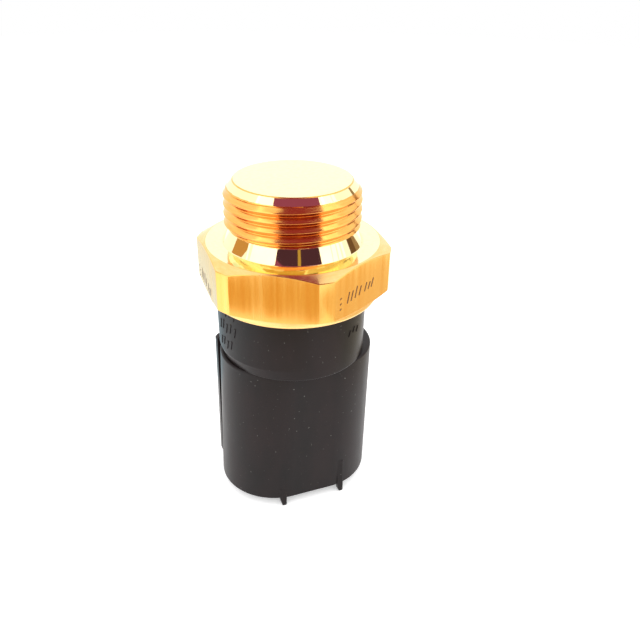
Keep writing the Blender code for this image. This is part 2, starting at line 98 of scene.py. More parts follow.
SEAT_Z = 43.7
BORE_RADIUS = 8.6
BORE_END_Z = END_Z - 1.6
ROWS_PER_PITCH = 30
EDGE_STEPS = 5
EDGE_ROWS = 4  # rows of faces of the end's rim in the drawn tone, whose orange is painted reflection
UNDERSIDE_SHADE_BELOW = -0.2  # upward part of the normal under which a thread face is an underside, painted darker and redder as shade

# Brass tones: the faced and polished ones are pale brass; the threaded, turned and drawn ones are oranger,
# painted reflection; the one for thread undersides is darker and redder, painted shade.
FACED, THREADED_PAINTED_REFLECTION, POLISHED, TURNED_PAINTED_REFLECTION, DRAWN_PAINTED_REFLECTION, UNDERSIDE_PAINTED_SHADE = range(6)
LOWER_FINISHES = ((0, 8, POLISHED), (9, 13, TURNED_PAINTED_REFLECTION), (13, 20, DRAWN_PAINTED_REFLECTION), (20, 29, TURNED_PAINTED_REFLECTION))

# ---------------------------------------------------------------- connector housing, in mm

FLANGE_RADIUS = 13.1
FLANGE_BOTTOM_Z = FLANGE_TOP_Z - 2.6
NECK_TOP_RADIUS = 12.25
NECK_BOTTOM_RADIUS = 12.1
NECK_BOTTOM_Z = 27.4
NECK_LEFT_STRETCH = 0.048  # the lettered left side stands out above PAD_BOTTOM_Z
PAD_BOTTOM_Z = 29.3
PAD_FADE = 1.3
NECK_SIDES = 144
SHROUD_HALF_STRAIGHT = 3.57
SHROUD_RADIUS = 9.92
SHROUD_WALL = 1.4
SHROUD_TOP_Z = 27.6
SHROUD_LEFT_DRAFT = 0.74
SHROUD_RIGHT_DRAFT = -0.38
TAB_HALF_WIDTH = 11.66
TAB_INNER_Y = 8.9
TAB_OUTER_Y = 10.4
TAB_TOP_Z = 25.9
TAB_CORNER_CUT = 0.5
TAB_LEFT_LEAN = 0.22
TAB_ROUNDING = 0.12
LATCH_SIZE = (6.0, 1.2, 4.0)
LATCH_BOTTOM_Z = 5.5
LATCH_ROUNDING = 0.15
KEY_RIB_X = 5.46
KEY_RIB_WIDTH = 1.3
KEY_RIB_FRONT_Y = -10.05
KEY_RIB_BACK_Y = -8.7
KEY_RIB_TOP_Z = 7.0
KEY_RIB_TIP_CUT = 0.5
KEY_RIB_RUN_OUT = 0.3
KEY_RIB_SHORTENED = 3.5  # the left rib only
KEY_RIB_ROUNDING = 0.18
SHARP_ANGLE = 30
FLAT_FACE_WEIGHT = 80

# ---------------------------------------------------------------- camera

FOCAL_LENGTH = 40.44
SENSOR = 36.0
CAMERA_TURN = math.radians(19.64)
CAMERA_DISTANCE = 108.05
CAMERA_HEIGHT = 92.51
CAMERA_PITCH = math.radians(29.23)
CAMERA_YAW = math.radians(2.45)
CAMERA_ROLL = math.radians(1.07)


def make_camera():
    data = bpy.data.cameras.new("camera")
    data.lens = FOCAL_LENGTH
    data.sensor_width = SENSOR
    data.clip_start = 0.005
    camera = bpy.data.objects.new("camera", data)
    bpy.context.scene.collection.objects.link(camera)
    turn = Matrix.Rotation(-CAMERA_TURN, 4, "Z")
    place = Matrix.Translation(Vector((0, -CAMERA_DISTANCE, CAMERA_HEIGHT)) * MM)
    aim = Matrix.Rotation(-CAMERA_YAW, 4, "Z") @ Matrix.Rotation(math.pi / 2 - CAMERA_PITCH, 4, "X")
    camera.matrix_world = turn @ place @ aim @ Matrix.Rotation(CAMERA_ROLL, 4, "Z")
    bpy.context.scene.camera = camera


# ---------------------------------------------------------------- studio

RED_SHADE = (0.31, 0.065, 0.15)
BOX_GLOW = 0.65
BOX_DISTANCE = 0.4
BOX_ELEVATION = 32
BOX_HEIGHT = 0.42
WORLD_GLOW = 1.3
FLOOR_GLOW = 0.4
FLOOR_RADIUS = 0.6
SOFT_BOXES = (  # name, azimuth, width
    ("left_box", -52, 0.30),
    ("left_strip", -81, 0.02),
    ("right_box", 59, 0.13),
    ("right_strip_1", 75, 0.05),
    ("right_strip_2", 84, 0.035),
    ("right_strip_3", 92, 0.03),
)
CARDS = (  # name, azimuth, elevation, distance, size, colour
    ("photographer", 10, 35, 0.3, (0.38, 0.5), RED_SHADE),
    ("photographer_above", 0, 88, 0.35, (0.16, 0.3), RED_SHADE),
    ("camera", 10, 33, 0.28, (0.35, 0.09), (0.075, 0.028, 0.05)),
    ("camera_edge", 11, 33, 0.27, (0.02, 0.09), (0.54, 0.33, 0.07)),
    ("left_gap", -98, 12, 0.45, (0.22, 0.16), (0.64, 0.32, 0.10)),
    ("right_gap_dark", 112, 12, 0.45, (0.10, 0.16), (0.17, 0.09, 0.045)),
    ("right_gap", 124, 12, 0.46, (0.11, 0.16), (0.37, 0.24, 0.13)),
)
FLOOR_CARDS = (  # name, size, colour, place
    ("table_front", (0.13, 0.2), (0.87, 0.61, 0.25), (-0.025, -0.16)),
    ("table_right", (0.11, 0.16), (1.0, 0.86, 0.60), (0.10, -0.03)),
    ("table_left", (0.10, 0.08), (1.6, 1.78, 1.8), (-0.10, -0.02)),
    ("table_back", (0.12, 0.11), (0.95, 1.2, 1.3), (-0.08, 0.08)),
)


def aim_at_switch(obj, azimuth, elevation, distance):
    """Places obj round the switch, facing it.  Azimuth 0 is at the camera, counted to the right."""
    around = math.radians(azimuth) - CAMERA_TURN
    above = math.radians(elevation)
    away = Vector((math.sin(around) * math.cos(above), -math.cos(around) * math.cos(above), math.sin(above)))
    obj.location = away * distance + Vector((0, 0, 0.05))
    obj.rotation_mode = "QUATERNION"
    obj.rotation_quaternion = away.to_track_quat("Z", "Y")
    obj.visible_camera = False


def soft_box(name, azimuth, elevation, distance, size, radiance):
    """A rectangular light of an even radiance, facing the switch."""
    width, height = size
    data = bpy.data.lights.new(name, "AREA")
    data.shape = "RECTANGLE"
    data.size = width
    data.size_y = height
    data.energy = radiance * math.pi * width * height
    light = bpy.data.objects.new(name, data)
    bpy.context.scene.collection.objects.link(light)
    aim_at_switch(light, azimuth, elevation, distance)


def reflected_card(name, azimuth, elevation, distance, size, colour):
    """A card that only polished surfaces see, like the dark shape of a photographer."""
    bpy.ops.mesh.primitive_plane_add(size=1)
    card = bpy.context.object
    card.name = name
    card.scale = (*size, 1)
    aim_at_switch(card, azimuth, elevation, distance)
    card.visible_diffuse = False
    card.visible_shadow = False
    paint = bpy.data.materials.new(name + "_paint")
    paint.use_nodes = True
    nodes, links = paint.node_tree.nodes, paint.node_tree.links
    nodes.clear()
    glow = nodes.new("ShaderNodeEmission")
    glow.inputs["Color"].default_value = (*colour, 1)
    out = nodes.new("ShaderNodeOutputMaterial")
    links.new(glow.outputs[0], out.inputs["Surface"])
    card.data.materials.append(paint)
    return card


def lay_flat(card, place):
    """Lays the card on the floor, at a place counted right of and behind the switch as the camera sees it."""
    turn = Matrix.Rotation(-CAMERA_TURN, 3, "Z")
    card.rotation_quaternion = turn.to_quaternion()
    card.location = turn @ Vector((*place, 0.001))


def studio_world():
    """White as the camera sees it, and a little brighter as a light."""
    world = bpy.data.worlds.new("studio")
    bpy.context.scene.world = world
    world.use_nodes = True
    nodes, links = world.node_tree.nodes, world.node_tree.links
    nodes.clear()
    path = nodes.new("ShaderNodeLightPath")
    seen = nodes.new("ShaderNodeBackground")
    seen.inputs["Color"].default_value = (1, 1, 1, 1)
    lit = nodes.new("ShaderNodeBackground")
    lit.inputs["Color"].default_value = (WORLD_GLOW, WORLD_GLOW, WORLD_GLOW, 1)
    mix = nodes.new("ShaderNodeMixShader")
    out = nodes.new("ShaderNodeOutputWorld")
    links.new(path.outputs["Is Camera Ray"], mix.inputs[0])
    links.new(lit.outputs[0], mix.inputs[1])
    links.new(seen.outputs[0], mix.inputs[2])
    links.new(mix.outputs[0], out.inputs["Surface"])


def make_floor():
    """White floor that can be looked through from below."""
    bpy.ops.mesh.primitive_circle_add(vertices=96, radius=FLOOR_RADIUS, fill_type="NGON")
    floor = bpy.context.object
    floor.name = "floor"
    paint, nodes, links, shader = node_material("floor_white")
    shader.inputs["Base Color"].default_value = (0.9, 0.9, 0.9, 1)
    shader.inputs["Roughness"].default_value = 0.9
    shader.inputs["Specular IOR Level"].default_value = 0
    shader.inputs["Emission Color"].default_value = (1, 1, 1, 1)
    shader.inputs["Emission Strength"].default_value = FLOOR_GLOW
    clear = nodes.new("ShaderNodeBsdfTransparent")
    side = nodes.new("ShaderNodeNewGeometry")
    mix = nodes.new("ShaderNodeMixShader")
    links.new(side.outputs["Backfacing"], mix.inputs[0])
    links.new(shader.outputs[0], mix.inputs[1])
    links.new(clear.outputs[0], mix.inputs[2])
    links.new(mix.outputs[0], nodes["Material Output"].inputs["Surface"])
    floor.data.materials.append(paint)


def studio():
    scene = bpy.context.scene
    scene.view_settings.view_transform = "Standard"
    scene.view_settings.look = "None"
    studio_world()
    make_floor()
    for name, azimuth, width in SOFT_BOXES:
        soft_box(name, azimuth, BOX_ELEVATION, BOX_DISTANCE, (width, BOX_HEIGHT), BOX_GLOW)
    for card in CARDS:
        reflected_card(*card)
    for name, size, colour, place in FLOOR_CARDS:
        lay_flat(reflected_card(name, 0, 0, 1, size, colour), place)


# ---------------------------------------------------------------- materials


def node_material(name):
    material = bpy.data.materials.new(name)
    material.use_nodes = True
    nodes, links = material.node_tree.nodes, material.node_tree.links
    return material, nodes, links, nodes["Principled BSDF"]


def stretched_noise(nodes, links, scale, detail, roughness=0.6):
    """Noise over the object's own millimetres, with its own scale along each axis."""
    place = nodes.new("ShaderNodeTexCoord")
    fit = nodes.new("ShaderNodeMapping")
    fit.inputs["Scale"].default_value = [part / MM for part in scale]
    noise = nodes.new("ShaderNodeTexNoise")
    noise.inputs["Scale"].default_value = 1.0
    noise.inputs["Detail"].default_value = detail
    noise.inputs["Roughness"].default_value = roughness
    links.new(place.outputs["Object"], fit.inputs["Vector"])
    links.new(fit.outputs["Vector"], noise.inputs["Vector"])
    return noise.outputs["Fac"]


def ramp(nodes, links, source, stops):
    """Colour ramp from (place, colour) stops."""
    band = nodes.new("ShaderNodeValToRGB")
    points = band.color_ramp.elements
    while len(points) < len(stops):
        points.new(0.5)
    for point, (place, colour) in zip(points, stops):
        point.position = place
        point.color = (*colour, 1)
    links.new(source, band.inputs["Fac"])
    return band.outputs["Color"]


def span(nodes, links, source, low, high, start=0.3, stop=0.7):
    """Maps start to stop onto low to high."""
    change = nodes.new("ShaderNodeMapRange")
    change.inputs["From Min"].default_value = start
    change.inputs["From Max"].default_value = stop
    change.inputs["To Min"].default_value = low
    change.inputs["To Max"].default_value = high
    links.new(source, change.inputs["Value"])
    return change.outputs["Result"]


def bumps(nodes, links, shader, source, depth):
    """Bump of a depth in millimetres."""
    bump = nodes.new("ShaderNodeBump")
    bump.inputs["Strength"].default_value = 1.0
    bump.inputs["Distance"].default_value = depth * MM
    links.new(source, bump.inputs["Height"])
    links.new(bump.outputs["Normal"], shader.inputs["Normal"])


def brass(name, tones, scale, roughness, depth):
    """Brass whose marks run along the axis with the smallest scale."""
    material, nodes, links, shader = node_material(name)
    marks = stretched_noise(nodes, links, scale, 5)
    shader.inputs["Metallic"].default_value = 1.0
    links.new(ramp(nodes, links, marks, [(0.3, tones[0]), (0.7, tones[1])]), shader.inputs["Base Color"])
    links.new(span(nodes, links, marks, *roughness), shader.inputs["Roughness"])
    bumps(nodes, links, shader, marks, depth)
    return material


def black_plastic(name):
    material, nodes, links, shader = node_material(name)
    grain = stretched_noise(nodes, links, (4, 4, 4), 6)
    flow = stretched_noise(nodes, links, (0.15, 0.15, 0.05), 3)
    dust = stretched_noise(nodes, links, (2.2, 2.2, 2.2), 2, 0.3)
    black, warm, speck = (0.011, 0.009, 0.009), (0.018, 0.012, 0.012), (0.10, 0.10, 0.09)
    stained = nodes.new("ShaderNodeMix")
    stained.data_type = "RGBA"
    links.new(span(nodes, links, dust, 0, 1, 0.74, 0.80), stained.inputs["Factor"])
    links.new(ramp(nodes, links, flow, [(0.35, black), (0.65, warm)]), stained.inputs["A"])
    stained.inputs["B"].default_value = (*speck, 1)
    links.new(stained.outputs["Result"], shader.inputs["Base Color"])
    links.new(span(nodes, links, flow, 0.28, 0.42), shader.inputs["Roughness"])
    shader.inputs["Specular IOR Level"].default_value = 0.16
    bumps(nodes, links, shader, grain, 0.012)
    return material


def plain(name, low, high, roughness, metallic=0.0, scale=(1, 1, 1), depth=0.01):
    """Material of an inner piece: two tones, a range of roughness and a fine grain."""
    material, nodes, links, shader = node_material(name)
    grain = stretched_noise(nodes, links, scale, 4)
    shader.inputs["Metallic"].default_value = metallic
    links.new(ramp(nodes, links, grain, [(0.3, low), (0.7, high)]), shader.inputs["Base Color"])
    links.new(span(nodes, links, grain, *roughness), shader.inputs["Roughness"])
    bumps(nodes, links, shader, grain, depth)
    return material


# ---------------------------------------------------------------- mesh helpers


def add_object(name, shape, materials, smooth_below=35):
    """An object at the origin from a bmesh in millimetres, shaded smooth but for edges sharper than that."""
    mesh = bpy.data.meshes.new(name)
    shape.transform(Matrix.Scale(MM, 4))
    shape.to_mesh(mesh)
    shape.free()
    for material in materials:
        mesh.materials.append(material)
    mesh.shade_smooth()
    mesh.set_sharp_from_angle(angle=math.radians(smooth_below))
    obj = bpy.data.objects.new(name, mesh)
    bpy.context.scene.collection.objects.link(obj)
    return obj


def bend(start, corner, stop, t):
    """A point at t of the short curve that rounds a corner."""
    return start * (1 - t) ** 2 + corner * 2 * t * (1 - t) + stop * t**2


def rounded(points, steps=3):
    """A polyline (radius, z, rounding) whose corners become short curves, always with the same count."""
    line = [Vector(points[0][:2])]
    for before, here, after in zip(points, points[1:], points[2:]):
        corner = Vector(here[:2])
        inward = Vector(before[:2]) - corner
        onward = Vector(after[:2]) - corner
        start = corner + inward.normalized() * min(here[2], inward.length * 0.45)
        stop = corner + onward.normalized() * min(here[2], onward.length * 0.45)
        line += [bend(start, corner, stop, step / steps) for step in range(steps + 1)]
    line.append(Vector(points[-1][:2]))
    return line


def soft_max(value, rounding):
    """The larger of value and 0, eased over the corner."""
    return (value + math.sqrt(value * value + rounding * rounding)) / 2


def soft_min(first, second, rounding):
    return second - soft_max(second - first, rounding)


# ---------------------------------------------------------------- brass body


def hex_radius(angle):
    """Radius of the hexagon, its corners turned down to a cylinder."""
    off = (angle - HEX_TURN + math.pi / 6) % (math.pi / 3) - math.pi / 6
    return soft_min(HEX_FLAT_RADIUS / math.cos(off), HEX_CORNER_RADIUS, 0.02)


def hex_columns():
    """Angles round the body, close together where a flat meets a turned corner."""
    junction = math.acos(HEX_FLAT_RADIUS / HEX_CORNER_RADIUS)
    near = [math.radians(part) for part in (-1.2, -0.6, -0.3, -0.1, 0.1, 0.3, 0.6, 1.2)]
    angles = []
    for flat in range(6):
        middle = HEX_TURN + flat * math.pi / 3
        angles += [middle + side * junction + part for side in (-1, 1) for part in near]
        angles += [middle + junction * part / 15 for part in range(-14, 15)]
        angles += [middle + math.pi / 6 + math.radians(part) for part in (-2.8, -1.4, 0, 1.4, 2.8)]
    return sorted(angle % (2 * math.pi) for angle in angles)


def thread_radius(z, angle):
    """Radius of the thread, cut off by the end chamfer above and by the runout below."""
    turns = (z - CREST_Z) / THREAD_PITCH - (angle - CREST_PHASE) / (2 * math.pi)
    from_crest = abs(turns - round(turns)) * THREAD_PITCH
    depth = soft_max(from_crest - CREST_HALF_FLAT, THREAD_ROUNDING) * FLANK_SLOPE
    deepest = THREAD_DEPTH + END_GROOVE_EXTRA if z > END_Z - THREAD_PITCH else THREAD_DEPTH
    radius = THREAD_RADIUS - soft_min(depth, deepest, THREAD_ROUNDING)
    chamfer = END_RADIUS + (END_Z - z) * (THREAD_RADIUS - END_RADIUS) / (END_Z - CHAMFER_FOOT_Z)
    runout = RELIEF_RADIUS + (z - RELIEF_Z) * RUNOUT_SLOPE
    return min(radius, chamfer, runout)


def end_profile():
    """The flat end from its centre to its rounded rim."""
    line = [Vector((radius, END_Z)) for radius in (0, 1.5, 3, 4.5, 6, 7.5, 8.5)]
    foot = END_RADIUS + END_EDGE * (THREAD_RADIUS - END_RADIUS) / (END_Z - CHAMFER_FOOT_Z)
    start, corner = Vector((END_RADIUS - END_EDGE, END_Z)), Vector((END_RADIUS, END_Z))
    stop = Vector((foot, END_Z - END_EDGE))
    return line + [bend(start, corner, stop, step / EDGE_STEPS) for step in range(EDGE_STEPS + 1)]


def lower_profile(angle):
    """From the relief under the thread down the outside, round the crimped lip and back up the bore."""
    hexagon = hex_radius(angle)
    outside = [
        (RELIEF_RADIUS, RELIEF_Z, 0),
        (RELIEF_RADIUS + 0.02, RELIEF_Z - 0.03, 0.05),
        (CONE_FOOT_RADIUS, HEX_TOP_Z, 0.12),
        (HEX_FACE_RADIUS, HEX_TOP_Z, 0.06),
        (hexagon, HEX_TOP_Z - (hexagon - HEX_FACE_RADIUS) * HEX_CHAMFER, 0.1),
        (hexagon, HEX_LOW_Z - (HEX_CORNER_RADIUS - hexagon) * HEX_LOW_CHAMFER, 0.1),
        (COLLAR_RADIUS, HEX_LOW_Z - (HEX_CORNER_RADIUS - COLLAR_RADIUS) * HEX_LOW_CHAMFER, 0.08),
        (COLLAR_RADIUS, COLLAR_BOTTOM_Z, 0.6),
        (LIP_RADIUS, COLLAR_BOTTOM_Z, 0.1),
        (LIP_RADIUS, COLLAR_BOTTOM_Z + LIP_HEIGHT, 0.05),
        (SEAT_RADIUS, COLLAR_BOTTOM_Z + LIP_HEIGHT, 0.05),
        (SEAT_RADIUS, SEAT_Z, 0.05),
        (BORE_RADIUS, SEAT_Z, 0.05),
        (BORE_RADIUS, BORE_END_Z, 0.2),
        (0, BORE_END_Z, 0),
    ]
    return rounded(outside)


def brass_body(materials):
    """One closed skin.  The thread's rows climb with the helix, so they meet a pitch higher at the seam."""
    columns = hex_columns()
    top = end_profile()
    threaded = END_Z - END_EDGE - RELIEF_Z
    thread_rows = math.ceil((threaded / THREAD_PITCH + 1) * ROWS_PER_PITCH) + 1
    shape = bmesh.new()
    grid = []
    for angle in columns:
        across = Vector((math.cos(angle), math.sin(angle), 0))
        profile = list(top)
        for row in range(thread_rows):
            z = END_Z - END_EDGE + THREAD_PITCH * (angle / (2 * math.pi) - row / ROWS_PER_PITCH)
            z = min(max(z, RELIEF_Z), END_Z - END_EDGE)
            profile.append(Vector((thread_radius(z, angle), z)))
        profile += lower_profile(angle)
        grid.append([shape.verts.new(across * radius + Vector((0, 0, z))) for radius, z in profile])
    first, last = len(top), len(top) + thread_rows
    rows = len(grid[0])
    kinds = face_kinds(first, last, rows)
    for column, here in enumerate(grid):
        seam = column == len(grid) - 1
        beside = grid[0] if seam else grid[column + 1]
        for row in range(rows - 1):
            pair = []
            for place in (row, row + 1):
                if seam and first <= place < last:
                    place = max(first, place - ROWS_PER_PITCH)
                pair.append(beside[place])
            corners = [here[row], here[row + 1], pair[1], pair[0]]
            if pair[0] is pair[1]:
                corners.pop()
            face = shape.faces.new(corners)
            on_chamfer = all(vert.co.z > CHAMFER_FOOT_Z + THREAD_PITCH / 2 for vert in corners)
            face.material_index = POLISHED if on_chamfer and row >= first else kinds[row]
            face.normal_update()
            # Thread faces that face downwards take the darker, redder underside tone, painted shade; in the
            # runout they take the pale polished tone.
            if kinds[row] == THREADED_PAINTED_REFLECTION and face.normal.z < UNDERSIDE_SHADE_BELOW:
                in_runout = face.calc_center_median().z < RELIEF_Z + RUNOUT_HEIGHT
                face.material_index = POLISHED if in_runout else UNDERSIDE_PAINTED_SHADE
    bmesh.ops.remove_doubles(shape, verts=shape.verts, dist=0.0005)
    bmesh.ops.dissolve_degenerate(shape, edges=shape.edges, dist=0.0001)
    bmesh.ops.recalc_face_normals(shape, faces=shape.faces)
    body = add_object("brass_body_fine", shape, materials, 40)
    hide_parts("brass_body")
    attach(body, "housing")
    return body


def face_kinds(first, last, rows):
    """The finish of each row of faces; the threaded, turned and drawn rows carry an oranger tone that is
    painted reflection.  Below the thread, each corner of the profile takes four rows.
    """
    kinds = [FACED] * (first - EDGE_ROWS) + [DRAWN_PAINTED_REFLECTION] * EDGE_ROWS
    kinds += [THREADED_PAINTED_REFLECTION] * (last - first) + [FACED] * (rows - last)
    for start, stop, kind in LOWER_FINISHES:
        kinds[last + start : last + stop] = [kind] * (stop - start)
    return kinds


# ---------------------------------------------------------------- connector housing


def stadium(radius, sides=96):
    points = []
    for end in (1, -1):
        for step in range(sides // 2 + 1):
            angle = math.pi * (step / (sides // 2) - 0.5)
            x = end * (SHROUD_HALF_STRAIGHT + radius * math.cos(angle))
            points.append(Vector((x, end * radius * math.sin(angle), 0)))
    return points


def lean(point, z):
    """The shroud's left end leans in towards the top for draft, and its right end leans out a little."""
    up = (z - RIM_Z) / (SHROUD_TOP_Z - RIM_Z)
    right = (point.x / (SHROUD_HALF_STRAIGHT + SHROUD_RADIUS) + 1) / 2
    shift = up * (SHROUD_LEFT_DRAFT * (1 - right) - SHROUD_RIGHT_DRAFT * right)
    return point + Vector((shift, 0, z))


def loft(rings):
    """Closed skin through rings of equal count, capped at both ends."""
    shape = bmesh.new()
    rows = [[shape.verts.new(point) for point in ring] for ring in rings]
    for upper, lower in zip(rows, rows[1:]):
        for index in range(len(upper)):
            after = (index + 1) % len(upper)
            shape.faces.new((upper[index], lower[index], lower[after], upper[after]))
    shape.faces.new(rows[0])
    shape.faces.new(reversed(rows[-1]))
    bmesh.ops.recalc_face_normals(shape, faces=shape.faces)
    return shape


def shroud_shape():
    """The plug socket: a stadium cup open at the rim."""
    inner = SHROUD_RADIUS - SHROUD_WALL
    profile = rounded(
        [
            (4.0, SHROUD_TOP_Z, 0),
            (SHROUD_RADIUS, SHROUD_TOP_Z, 0.35),
            (SHROUD_RADIUS, KEY_RIB_TOP_Z + 0.4, 0.1),
            (SHROUD_RADIUS, RIM_Z, 0.35),
            (inner, RIM_Z, 0.3),
            (inner - 0.1, SOCKET_FLOOR_Z, 0.4),
            (4.6, SOCKET_FLOOR_Z, 0),
        ],
        5,
    )
    rings = []
    for radius, z in profile:
        outer = radius > inner + 0.2
        rings.append([lean(point, z) if outer else point + Vector((0, 0, z)) for point in stadium(radius)])
    return loft(rings)


def neck_shape():
    """The flange inside the brass collar and the round neck under it."""
    core = NECK_BOTTOM_RADIUS - 3
    profile = rounded(
        [
            (3, FLANGE_TOP_Z, 0),
            (FLANGE_RADIUS, FLANGE_TOP_Z, 0.2),
            (FLANGE_RADIUS, FLANGE_BOTTOM_Z, 0.2),
            (NECK_TOP_RADIUS, FLANGE_BOTTOM_Z, 0.2),
            (NECK_TOP_RADIUS, COLLAR_BOTTOM_Z - 0.1, 0.04),
            (NECK_TOP_RADIUS, COLLAR_BOTTOM_Z - 0.35, 0.05),
            (NECK_BOTTOM_RADIUS + 0.03, PAD_BOTTOM_Z, 0.3),
            (NECK_BOTTOM_RADIUS, NECK_BOTTOM_Z, 0.35),
            (core, NECK_BOTTOM_Z, 0.2),
            (core, NECK_BOTTOM_Z - 2, 0),
        ],
        5,
    )
    turns = [2 * math.pi * step / NECK_SIDES for step in range(NECK_SIDES)]
    rings = []
    for radius, z in profile:
        below_collar = z < COLLAR_BOTTOM_Z - 0.2
        left = 1 + NECK_LEFT_STRETCH * min(max((z - PAD_BOTTOM_Z) / PAD_FADE + 1, 0), 1) * below_collar
        ring = [Vector((radius * math.cos(turn), radius * math.sin(turn), z)) for turn in turns]
        rings.append([Vector((point.x * (left if point.x < 0 else 1), point.y, z)) for point in ring])
    return loft(rings)


def cuboid(low, high):
    """A box between two corners, for its maker to shape."""
    shape = bmesh.new()
    middle = (Vector(low) + Vector(high)) / 2
    size = Vector(high) - Vector(low)
    bmesh.ops.create_cube(shape, size=1, matrix=Matrix.Translation(middle) @ Matrix.Diagonal((*size, 1)))
    return shape


def round_edges(shape, edges, width):
    bmesh.ops.bevel(shape, geom=edges, offset=width, segments=3, profile=0.5, affect="EDGES")


def tab_shape():
    """The flat tab on the back, its upper corners cut off."""
    shape = cuboid((-TAB_HALF_WIDTH, TAB_INNER_Y, 0), (TAB_HALF_WIDTH, TAB_OUTER_Y, TAB_TOP_Z))
    for vert in shape.verts:
        if vert.co.x < 0 and vert.co.z > TAB_TOP_Z - 0.1:
            vert.co.x += TAB_LEFT_LEAN
    upper = []
    for edge in shape.edges:
        at_corner = all(
            vert.co.z > TAB_TOP_Z - 0.1 and abs(vert.co.x) > TAB_HALF_WIDTH - 0.3 for vert in edge.verts
        )
        if at_corner and abs(edge.verts[0].co.x - edge.verts[1].co.x) < 0.1:
            upper.append(edge)
    bmesh.ops.bevel(shape, geom=upper, offset=TAB_CORNER_CUT, segments=1, affect="EDGES")
    round_edges(shape, shape.edges[:], TAB_ROUNDING)
    return shape


def latch_shape():
    """The wedge on the tab that holds the plug."""
    width, reach, height = LATCH_SIZE
    low = (-width / 2, TAB_OUTER_Y - 0.5, LATCH_BOTTOM_Z)
    high = (width / 2, TAB_OUTER_Y + reach, LATCH_BOTTOM_Z + height)
    shape = cuboid(low, high)
    for vert in shape.verts:
        if vert.co.y > TAB_OUTER_Y and vert.co.z < LATCH_BOTTOM_Z + 0.5:
            vert.co.z += height - 1
    round_edges(shape, shape.edges[:], LATCH_ROUNDING)
    return shape


def rib_shape(side):
    """One key rib, with the left side of its foot cut back below the rim."""
    x = side * KEY_RIB_X
    half = KEY_RIB_WIDTH / 2
    shape = cuboid((x - half, KEY_RIB_FRONT_Y, 0), (x + half, KEY_RIB_BACK_Y, KEY_RIB_TOP_Z))
    every = shape.verts[:] + shape.edges[:] + shape.faces[:]
    bmesh.ops.bisect_plane(shape, geom=every, plane_co=(0, 0, RIM_Z), plane_no=(0, 0, 1))
    for vert in shape.verts:
        if vert.co.z < RIM_Z / 2 and vert.co.x < x:
            vert.co.x += KEY_RIB_TIP_CUT
        if vert.co.z > KEY_RIB_TOP_Z - 0.1 and vert.co.y < (KEY_RIB_FRONT_Y + KEY_RIB_BACK_Y) / 2:
            vert.co.y += KEY_RIB_RUN_OUT
            vert.co.z -= KEY_RIB_SHORTENED if side < 0 else 0
    edges = [edge for edge in shape.edges if not all(abs(vert.co.z - RIM_Z) < 0.01 for vert in edge.verts)]
    round_edges(shape, edges, KEY_RIB_ROUNDING)
    return shape


def unite(target, shape):
    """Joins the shape to the target with a Boolean, and applies it."""
    tool = add_object("tool", shape, [])
    join = target.modifiers.new("join", "BOOLEAN")
    join.operation = "UNION"
    join.object = tool
    join.solver = "EXACT"
    with bpy.context.temp_override(object=target, active_object=target, selected_objects=[target]):
        bpy.ops.object.modifier_apply(modifier=join.name)
    bpy.data.objects.remove(tool)


def connector_housing(material):
    """The whole moulding as one skin."""
    housing = add_object("connector_housing_fine", neck_shape(), [material], SHARP_ANGLE)
    for shape in (shroud_shape(), tab_shape(), latch_shape(), rib_shape(-1), rib_shape(1)):
        unite(housing, shape)
    housing.data.shade_smooth()
    housing.data.set_sharp_from_angle(angle=math.radians(SHARP_ANGLE))
    flatten = housing.modifiers.new("flatten", "WEIGHTED_NORMAL")
    flatten.keep_sharp = True
    flatten.weight = FLAT_FACE_WEIGHT
    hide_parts("connector_housing")
    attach(housing, "housing")
    return housing


# ---------------------------------------------------------------- generic marks

FACE_STROKES = ((-3.9, 2.0), (-3.0, 1.8), (-2.0, 2.1), (-1.0, 1.7), (0.4, 1.6), (1.3, 1.3), (2.1, 1.6))
FACE_DASHES = (-1.0, -0.1, 0.8)
FACE_ROWS = ((5, 0.17, 42.3), (3, -0.17, 41.2))  # flat, slope, middle z
DASH_PLACE = -5.7
STAMP_PROUD = 0.014
NECK_ROWS = ((30.4, -178, 4, 1.7), (33.4, -178, 5, 1.9), (36.4, -178, 5, 1.9), (33.4, -62, 3, 1.1))
NECK_MARK_STEP = 5.2
NECK_MARK_PROUD = 0.12
NECK_HEIGHT = 11.7
STROKE_WIDTH = 0.30
DASH_WIDTH = 0.22
SUNK = 0.08


def around(angle):
    """The directions out of and along a surface that faces angle."""
    return Vector((math.cos(angle), math.sin(angle), 0)), Vector((-math.sin(angle), math.cos(angle), 0))


def stroke(shape, low, high, width, proud, out):
    """A short bar from low to high on a surface that faces out, sunk a little in it."""
    across = out.cross((high - low).normalized()) * width / 2
    ends = [low - out * SUNK, high - out * SUNK]
    base = [ends[0] - across, ends[0] + across, ends[1] + across, ends[1] - across]
    top = [point + out * (SUNK + proud) for point in base]
    middle = sum(top, Vector()) / 4
    lower = [shape.verts.new(point) for point in base]
    upper = [shape.verts.new(point.lerp(middle, 0.12)) for point in top]
    shape.faces.new(upper)
    shape.faces.new(reversed(lower))
    for index in range(4):
        after = (index + 1) % 4
        shape.faces.new((lower[index], lower[after], upper[after], upper[index]))


def add_marks(name, shape, material):
    bmesh.ops.recalc_face_normals(shape, faces=shape.faces)
    marks = add_object(name, shape, [material])
    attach(marks, "housing")


